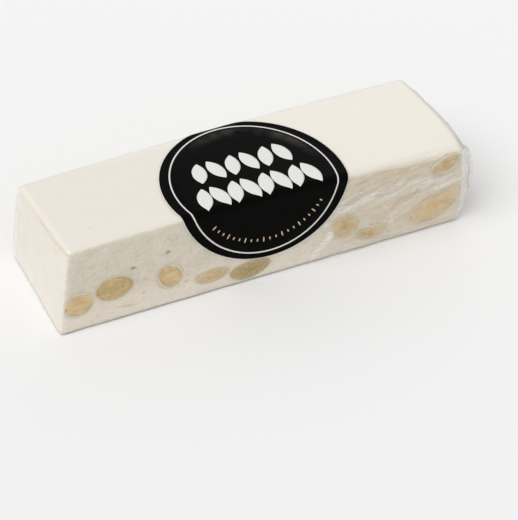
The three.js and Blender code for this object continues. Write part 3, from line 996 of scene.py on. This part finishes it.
def build_film(settings, middle):
    look = settings.film
    bm, core = rounded_block(look.inset, 0.0, FILM_CELLS)
    fields = {}

    def wrap(points):
        half = core[1][X]
        share = np.clip((points[:, X] + half) / (2 * half), 0, 1)
        crowded = np.interp(share, [0, CALM_SHARE, 1], [-half, CRUMPLE_START, half])
        points[:, X] += crowded - (2 * share - 1) * half
        outwards = block_normals(points, core)
        x, y, z = points.T
        out = -FILM_FOLLOWS * hollow_depth(points, outwards) * step(outwards[:, Z], 0.9, 0.3)
        out += FILM_WAVE * noise_at(points, FILM_WAVE_WIDTHS, seed=5.0)
        cloud, crease = np.zeros(len(points)), np.zeros(len(points))
        front = step(-outwards[:, Y], 0.4, 0.9)
        faces = (
            (front, x, z, FRONT_FOLDS, FRONT_CREASES),
            (step(outwards[:, Y], 0.4, 0.9), x, z, BACK_FOLDS, BACK_CREASES),
            (step(outwards[:, Z], 0.8, 1.0), x, y, (), TOP_CREASES),
        )
        for share, a, b, folds, creases in faces:
            height, milky, sharp = folds_and_creases(a, b, folds, creases)
            out += share * height
            cloud = np.maximum(cloud, share * milky)
            crease = np.maximum(crease, share * sharp)
        uneven = VEIL_CLOUD["uneven"] * noise_at(points, VEIL_WIDTHS, octaves=3, seed=31.0)
        cloud = np.maximum(cloud, front * step(x, *VEIL_SPAN) * (VEIL_CLOUD["mean"] + uneven))
        for spot in CLEAR_SPOTS:
            cloud *= 1 - SPOT_CLEARS * front * step(pit_share(spot, x, z), 1.25, 0.45)
        ridges = sum(part * crumpled(points, widths, seed) for widths, seed, part in RIDGES)
        loose = step(cloud, 0.1, 0.7) * step(np.abs(outwards[:, X]), 0.6, 0.2)
        out += loose * look.crumple * ridges
        out = np.where(outwards[:, Z] < -0.7, 0, out)
        for side in (LEFT, RIGHT):
            on_end = step(side * outwards[:, X], 0.3, 0.9)
            folds, wrinkle = end_wrinkles(points, side)
            starts, full = (BAR_SIZE[X] / 2 - END_START[word] for word in ("from", "full"))
            share = step(side * x, starts, full)
            points[:, X] += side * share * (stand_off(side, y, z) + wrinkle * on_end)
            crease = np.maximum(crease, on_end * END_CREASE[side] * folds**3)
            cloud = np.maximum(cloud, on_end * END_CLOUD[side])
            if side == LEFT:
                points[:, X] -= share * flap_relief(y, z)
        fields.update(cloud=np.clip(cloud, 0, 1), crease=np.clip(crease, 0, 1))
        return lean(points + out[:, None] * outwards) + middle

    reshape(bm, wrap)
    finish = film_finish(look)
    make_piece("film_skin", bm, finish, ["film_wrap"], fields)
    for edge in FLAP_REACH:
        build_flap(edge, settings, middle, finish)
    build_ear(settings, middle, finish)


def end_wrinkles(points, side):
    """Wrinkles that run up and down the folded end: their pattern and their height."""
    folds = crumpled(points, WRINKLE_WIDTHS, 40.0 + side)
    return folds, END_WRINKLE[side] * folds


def flap_relief(y, z):
    """How much the flaps of the tight end raise its film."""
    from_side, from_top = BAR_SIZE[Y] / 2 - np.abs(y), BAR_SIZE[Z] - z
    slope = TIGHT_FLAP["slope"]
    above = step(FLAP_REACH["top"] - from_top, 0, slope) * step(from_side - from_top, 0, slope)
    below = step(FLAP_REACH["bottom"] - z, 0, slope) * step(from_side - z, 0, slope)
    return TIGHT_FLAP["lift"] * (above + below)


def shaped_sheet(name, cells, shape, fields, settings, finish):
    """A piece of film made from a flat grid, which a function shapes."""
    bm = bmesh.new()
    bmesh.ops.create_grid(bm, x_segments=cells[0], y_segments=cells[1], size=1.0)
    reshape(bm, shape)
    bmesh.ops.recalc_face_normals(bm, faces=bm.faces)
    make_piece(name, bm, finish, ["film_wrap"], fields, wall=(settings.film.wall, 0.0))


def build_flap(edge, settings, middle, finish):
    """A flap of the loose end, from the top or the bottom edge: as wide as the bar at that edge and
    narrower as it reaches in."""
    look = settings.film
    fields = {}

    def shape(sheet):
        share = 0.5 - 0.5 * sheet[:, Y]
        inwards = FLAP_START + share * (FLAP_REACH[edge] - FLAP_START)
        half = BAR_SIZE[Y] / 2 - look.inset - FLAP_MARGIN - FLAP_NARROWS * inwards
        y = sheet[:, X] * half
        z = BAR_SIZE[Z] - look.inset - inwards if edge == "top" else inwards + look.inset
        flat = np.column_stack([np.full(len(y), BAR_SIZE[X] / 2), y, z])
        folds, wrinkle = end_wrinkles(flat, RIGHT)
        ripple = noise_at(flat, FLAP_RIPPLE_WIDTHS, seed=16.0)
        free = step(share, 0.55, 1.0)
        lift = FLAP_LIFT * (0.15 + 0.85 * share + 0.4 * free * (0.5 + 0.5 * ripple))
        flat[:, X] += stand_off(RIGHT, y, z) + wrinkle + lift - look.inset
        rim = np.maximum(step(np.abs(sheet[:, X]), 0.94, 1.0), step(share, 0.95, 1.0))
        crease = END_CREASE[RIGHT] * (0.8 * rim + 0.6 * folds**3)
        fields.update(cloud=np.full(len(y), 0.5 * END_CLOUD[RIGHT]), crease=np.clip(crease, 0, 1))
        return lean(flat) + middle

    shaped_sheet(f"film_flap_right_{edge}", FLAP_CELLS, shape, fields, settings, finish)


def build_ear(settings, middle, finish):
    """The pinched fold of film that stands up along the loose end's front corner."""
    fields = {}

    def shape(sheet):
        down = 0.5 - 0.5 * sheet[:, Y]
        line = EAR_TOP + down[:, None] * (EAR_TIP - EAR_TOP)
        base = stand_off(RIGHT, line[:, Y], line[:, Z]) + BAR_SIZE[X] / 2 - EAR_ROOT
        fin = np.sqrt(np.clip(1 - sheet[:, X] ** 2, 0, 1)) ** 0.6
        width = EAR_WIDTH * step(down, 0.0, 0.35) * (1 - 0.35 * step(down, 0.6, 1.0)) * step(down, 1.0, 0.93)
        wave = EAR_WAVE * np.sin(9 * down + 1.0)
        x = base + fin * (width + wave * step(down, 0.1, 0.4))
        y = line[:, Y] + sheet[:, X] * EAR_HALF_DEPTH * (1 - 0.5 * fin) + EAR_SWAY * np.sin(5 * down)
        fields.update(cloud=np.full(len(x), EAR_CLOUD), crease=0.4 * step(fin, 0.9, 1.0))
        return lean(np.column_stack([x, y, line[:, Z]])) + middle

    shaped_sheet("film_ear", EAR_CELLS, shape, fields, settings, finish)


def film_finish(look):
    """Clear film: it reflects at a glancing angle and scatters where it is creased or crumpled."""
    material, board = new_finish("clear_film")
    cloud, crease = board.field("cloud"), board.field("crease")
    slanting = board.turned(board.place(), 13)
    streaks = board.noise(slanting, (9, 9, 2.2), twist=0.6)
    hatch = board.noise(slanting, (2.4, 2.4, 0.6), detail=3.0, roughness=0.6, twist=1.0)
    bands, fine = streaks.between(0.35, 0.63), hatch.between(0.36, 0.68)
    milky = cloud * (0.27 + bands * (0.36 + fine * 0.22) + fine * 0.14) * look.cloud
    haze = milky + crease * (0.6 + fine * 0.4) * look.crease + look.haze
    facing = board.node("LayerWeight", None, {"Blend": 0.5}, output="Facing")
    mirror = facing**5 * 0.96 + 0.04
    shown = haze + mirror - haze * mirror
    board.surface(
        {
            "Base Color": opaque(look.tint),
            "Metallic": mirror / shown,
            "Roughness": 0.1 + cloud * 0.2,
            "Alpha": shown,
            "Normal": board.bump(cloud * (bands * 0.1 + fine * 0.02)),
        }
    )
    return material


# ---------------------------------------------------------------- label

LABEL_RINGS = 62
LABEL_SECTORS = 288
PRINT_LIFT = 0.025 * MM
PRINT_WALL = 0.03 * MM

# The rows of leaves in the label's middle: across the bar, how many, the row's half length, and a
# leaf's height and width.
LEAF_ROWS = (
    {"s": 9.8, "count": 6, "half": 17.2, "height": 10.2, "width": 4.8},
    {"s": -2.6, "count": 8, "half": 21.4, "height": 10.8, "width": 4.9},
)
LEAF_TILT = 14
LEAF_CELLS = (8, 24)
# The arc of dashes: its radius, its first and last angle, how many, and which of them are longer.
DASH_ARC = {"radius": 23.6, "from": -143, "to": -37, "count": 21, "long_every": 3, "long": 1.7}
DASH_SIZE = (1.15, 0.5)
DASH_CELLS = (4, 4)

# The label stands up a little inside its ring: how far, and from which share of the ring inwards.
LABEL_DOME = {"height": 0.12 * MM, "foot": 0.99, "top": 0.90}
# Its edge curls up: how far at most, over how wide a strip, and the width of the waves in it.
LABEL_CURL = {"height": 0.12 * MM, "strip": 2 * MM, "waves": 12}
# The direction, along and across the bar, in which a painted sheen lies just inside the ring: lighter ink
# that stands in for a reflection there.
SHEEN_TOWARDS = (0.42, 0.91)
WORN_INK = (0.0036, 0.0034, 0.0031)
PAINTED_SHEEN_INK = (0.045, 0.043, 0.040)
FIBRE_WIDTHS = 0.35


def label_points(x, s, lift, look, middle):
    """Places on the label's sheet in the frame, from the label's middle."""
    reach = np.hypot(x / look.ring_length, s / look.ring_reach)
    dome = LABEL_DOME["height"] * step(reach, LABEL_DOME["foot"], LABEL_DOME["top"])
    return on_label(x, s, lift + dome) + middle


def disc_between(inner, outer, rings):
    """A flat disc or ring, as a line spun about Z."""
    bm = bmesh.new()
    ends = [bm.verts.new((inner, 0, 0)), bm.verts.new((outer, 0, 0))]
    bmesh.ops.subdivide_edges(bm, edges=[bm.edges.new(ends)], cuts=rings - 1)
    bmesh.ops.spin(
        bm, geom=bm.verts[:] + bm.edges[:], cent=(0, 0, 0), axis=(0, 0, 1), angle=2 * math.pi,
        steps=LABEL_SECTORS, use_merge=True,
    )
    bmesh.ops.remove_doubles(bm, verts=bm.verts, dist=1e-7)
    bmesh.ops.recalc_face_normals(bm, faces=bm.faces)
    return bm


def build_label(settings, middle):
    look = settings.label
    top = look.thickness - look.lift
    bm = disc_between(0.0, look.radius, LABEL_RINGS)
    fields = {}

    def drape(disc):
        x, s = disc[:, X], disc[:, Y]
        reach = np.hypot(x, s)
        fields["reach"] = reach / look.radius
        share = np.hypot(x / look.ring_length, s / look.ring_reach)
        towards = (SHEEN_TOWARDS[0] * x + SHEEN_TOWARDS[1] * s) / np.maximum(reach, MM)
        # A painted sheen: lighter ink just inside the ring towards the back, where a reflection would lie.
        fields["rub"] = step(share, 0.80, 0.94) * step(share, 0.98, 0.94) * step(towards, 0.5, 0.95)
        curl = LABEL_CURL["height"] * step(reach, look.radius - LABEL_CURL["strip"], look.radius)
        curl = curl * (0.5 + 0.5 * noise_at(disc, LABEL_CURL["waves"], seed=4.0))
        return label_points(x, s, top + curl, look, middle)

    reshape(bm, drape)
    face_up(bm)
    wall = look.thickness, -1.0
    make_piece("label_paper", bm, label_finish(look), ["label"], fields, wall)
    half_width = look.ring_width / 2 / look.ring_length
    ring = disc_between(1 - half_width, 1 + half_width, 2)
    leaves = joined_shapes(leaf_places(), LEAF_CELLS, leaf_outline)
    dashes = joined_shapes(dash_places(), DASH_CELLS, dash_outline)
    white = print_finish("white_print", look.paper, 0.5, 0.0)
    gold = print_finish("gold_print", look.foil, 0.35, 0.6)
    prints = (
        ("label_ring", ring, white, (look.ring_length, look.ring_reach)),
        ("label_leaves", leaves, white, (1, 1)),
        ("label_dashes", dashes, gold, (1, 1)),
    )
    for name, sheet, finish, scale in prints:
        reshape(sheet, lambda flat: label_points(*(flat[:, :2] * scale).T, top + PRINT_LIFT, look, middle))
        face_up(sheet)
        make_piece(name, sheet, finish, ["label"], wall=(PRINT_WALL, -1.0))


def face_up(bm):
    """Turns a draped sheet's faces outwards: up on top of the bar, and away from it on its sides."""
    bm.normal_update()
    top = max(bm.faces, key=lambda f: f.calc_center_median().z)
    if top.normal.z < 0:
        bmesh.ops.reverse_faces(bm, faces=bm.faces)


def joined_shapes(places, cells, outline):
    """Grids that are shaped by an outline, and turned and set at places, as one bmesh."""
    bm = bmesh.new()
    for x, s, turn, size in places:
        made = bmesh.ops.create_grid(bm, x_segments=cells[0], y_segments=cells[1], size=1.0)["verts"]
        for vert in made:
            vert.co = outline(vert.co, size)
        bmesh.ops.rotate(bm, matrix=Matrix.Rotation(turn, 3, "Z"), verts=made)
        bmesh.ops.translate(bm, vec=(x, s, 0), verts=made)
    bmesh.ops.remove_doubles(bm, verts=bm.verts, dist=1e-6)
    return bm


def leaf_outline(place, size):
    """A leaf with two pointed ends."""
    half_width = size[0] / 2 * max(1 - abs(place.y) ** 2.2, 0)
    return Vector((place.x * half_width, place.y * size[1] / 2, 0))


def dash_outline(place, size):
    return Vector((place.x * size[0] / 2, place.y * size[1] / 2 * (1 - 0.5 * place.x**2), 0))


def leaf_places():
    places = []
    for row in LEAF_ROWS:
        for i in range(row["count"]):
            x = (2 * i / (row["count"] - 1) - 1) * (row["half"] - row["width"] / 2) * MM
            turn = math.radians(LEAF_TILT if i % 2 else -LEAF_TILT)
            places.append((x, row["s"] * MM, turn, (row["width"] * MM, row["height"] * MM)))
    return places


def dash_places():
    places = []
    start, sweep = DASH_ARC["from"], DASH_ARC["to"] - DASH_ARC["from"]
    radius = DASH_ARC["radius"] * MM
    for i in range(DASH_ARC["count"]):
        angle = math.radians(start + sweep * i / (DASH_ARC["count"] - 1))
        length = DASH_SIZE[0] * (1.0 if i % DASH_ARC["long_every"] else DASH_ARC["long"])
        size = (DASH_SIZE[1] * MM, length * MM)
        places.append((radius * math.cos(angle), radius * math.sin(angle), angle + math.pi / 2, size))
    return places


def label_finish(look):
    """Black print on paper, with the bare paper left at the rim and a painted sheen of lighter ink just
    inside the ring.
    """
    material, board = new_finish("label_ink_on_paper")
    place = board.place()
    reach = board.field("reach")
    inked = reach.math("LESS_THAN", reach, 1 - look.rim / look.radius)
    fibre = board.noise(place, FIBRE_WIDTHS, detail=3.0)
    worn = board.noise(place, 6, detail=3.0)
    # The worn ink varies at random; the lighter ink just inside the ring is a painted sheen.
    ink = board.layered(
        look.ink, (worn, WORN_INK), (board.field("rub") * worn.between(0.3, 0.6), PAINTED_SHEEN_INK)
    )
    board.surface(
        {
            "Base Color": board.mix(inked, look.paper, ink),
            "Roughness": 0.25 + worn * 0.08,
            "Specular IOR Level": 0.02,
            "Normal": board.bump(fibre * 0.004 + worn * 0.06),
        }
    )
    return material


def print_finish(name, colour, roughness, metallic):
    material, board = new_finish(name)
    fibre = board.noise(board.place(), FIBRE_WIDTHS, detail=3.0)
    shade = [0.88 * c for c in colour]
    board.surface(
        {
            "Base Color": board.mix(fibre, shade, colour),
            "Roughness": roughness,
            "Metallic": metallic,
            "Normal": board.bump(fibre * 0.008),
        }
    )
    return material


# ---------------------------------------------------------------- stage

# The floor's half length and the colour of its specks.
FLOOR_SIZE = 6.0
FLOOR_SPECK = (0.8, 0.8, 0.8)
# The camera's place from the bar's own middle, and how it is turned, in degrees.
CAMERA_PLACE = Vector((-0.3612, -0.6383, 0.6381))
CAMERA_AZIMUTH = -30.09
CAMERA_ELEVATION = 41.42
CAMERA_ROLL = 4.84
CAMERA_LENS = 207.7
KEY_FROM = Vector((-0.55, -0.12, 0.82))
KEY_SIZE = math.radians(45)
# The softbox behind the bar, whose faint reflection is part of the label's sheen; the rest of that sheen is
# painted into the label's ink.
SOFTBOX_FROM = Vector((0.42, 0.72, 0.45))
SOFTBOX_SIZE = 0.35


def add_lamp(name, kind, energy, source):
    """A lamp that shines from a place towards the frame's origin."""
    lamp = add_object(name, bpy.data.lights.new(name, kind))
    lamp.data.energy = energy
    lamp.location = source
    lamp.rotation_mode = "QUATERNION"
    lamp.rotation_quaternion = source.to_track_quat("Z", "Y")
    return lamp


def build_stage(settings, middle):
    look = settings.stage
    scene = bpy.context.scene
    bm = bmesh.new()
    bmesh.ops.create_grid(bm, x_segments=1, y_segments=1, size=FLOOR_SIZE)
    mesh = bpy.data.meshes.new("floor")
    bm.to_mesh(mesh)
    bm.free()
    material, board = new_finish("pale_floor")
    speckle = board.noise(board.place(), 2)
    board.surface({"Base Color": board.mix(speckle * 0.04, look.floor, FLOOR_SPECK), "Roughness": 0.9})
    mesh.materials.append(material)
    floor = add_object("floor", mesh)

    scene.world = bpy.data.worlds.new("soft_white")
    scene.world.use_nodes = True
    board = Board(scene.world.node_tree)
    seen = board.node("LightPath", output="Is Camera Ray")
    strength = seen * (look.backdrop - look.sky) + look.sky
    glow = board.node("Background", None, {"Color": (1, 1, 1, 1), "Strength": strength})
    board.node("OutputWorld", None, {"Surface": glow})

    key = add_lamp("key", "SUN", look.key, KEY_FROM)
    key.data.angle = KEY_SIZE
    softbox = add_lamp("softbox", "AREA", look.softbox, SOFTBOX_FROM)
    softbox.data.shape = "SQUARE"
    softbox.data.size = SOFTBOX_SIZE

    lens = bpy.data.cameras.new("camera")
    lens.lens = CAMERA_LENS
    lens.sensor_width = 36.0
    lens.clip_start, lens.clip_end = 0.01, 20.0
    camera = add_object("camera", lens)
    camera.matrix_world = (
        Matrix.Translation(CAMERA_PLACE + Vector(middle))
        @ Matrix.Rotation(math.radians(CAMERA_AZIMUTH), 4, "Z")
        @ Matrix.Rotation(math.radians(90 - CAMERA_ELEVATION), 4, "X")
        @ Matrix.Rotation(math.radians(CAMERA_ROLL), 4, "Z")
    )
    scene.camera = camera
    scene.view_settings.view_transform = "Standard"


# ---------------------------------------------------------------- operators and panel


class BuildPiece:
    """What the operators share: each hands the settings and the bar's middle to its builder."""

    bl_options = {"REGISTER", "UNDO"}

    def execute(self, context):
        settings = context.scene.nougat_bar
        self.build(settings, bar_middle(settings.label.radius))
        return {"FINISHED"}


class NOUGAT_OT_stage(BuildPiece, Operator):
    """Add the floor, the lights and the camera"""

    bl_idname = "nougat.stage"
    bl_label = "Stage"
    build = staticmethod(build_stage)


class NOUGAT_OT_nougat(BuildPiece, Operator):
    """Build the bar of nougat, with its pockets and pits"""

    bl_idname = "nougat.nougat"
    bl_label = "Nougat"
    build = staticmethod(build_nougat)


class NOUGAT_OT_nuts(BuildPiece, Operator):
    """Build the cut cashews of both long faces"""

    bl_idname = "nougat.nuts"
    bl_label = "Cashews"
    build = staticmethod(build_nuts)


class NOUGAT_OT_film(BuildPiece, Operator):
    """Build the film with its folded ends"""

    bl_idname = "nougat.film"
    bl_label = "Film"
    build = staticmethod(build_film)


class NOUGAT_OT_label(BuildPiece, Operator):
    """Build the label and its print"""

    bl_idname = "nougat.label"
    bl_label = "Label"
    build = staticmethod(build_label)


OPERATORS = (NOUGAT_OT_stage, NOUGAT_OT_nougat, NOUGAT_OT_nuts, NOUGAT_OT_film, NOUGAT_OT_label)


class NOUGAT_PT_panel(Panel):
    bl_idname = "NOUGAT_PT_panel"
    bl_label = "Wrapped nougat bar"
    bl_space_type = "VIEW_3D"
    bl_region_type = "UI"
    bl_category = "Nougat"

    def draw(self, context):
        settings = context.scene.nougat_bar
        for operator, group in zip(OPERATORS, ("stage", "nougat", "nuts", "film", "label")):
            box = self.layout.box()
            box.operator(operator.bl_idname)
            look = getattr(settings, group)
            for name in look.__annotations__:
                box.prop(look, name)


GROUPS = (NougatSettings, NutSettings, FilmSettings, LabelSettings, StageSettings, NougatBarSettings)
CLASSES = (*GROUPS, *OPERATORS, NOUGAT_PT_panel)


def register():
    for cls in CLASSES:
        bpy.utils.register_class(cls)
    bpy.types.Scene.nougat_bar = PointerProperty(type=NougatBarSettings)


def unregister():
    del bpy.types.Scene.nougat_bar
    for cls in reversed(CLASSES):
        bpy.utils.unregister_class(cls)


def main():
    register()
    bpy.ops.nougat.stage()
    bpy.ops.nougat.nougat()
    bpy.ops.nougat.nuts()
    bpy.ops.nougat.film()
    bpy.ops.nougat.label()


if __name__ == "__main__":
    main()
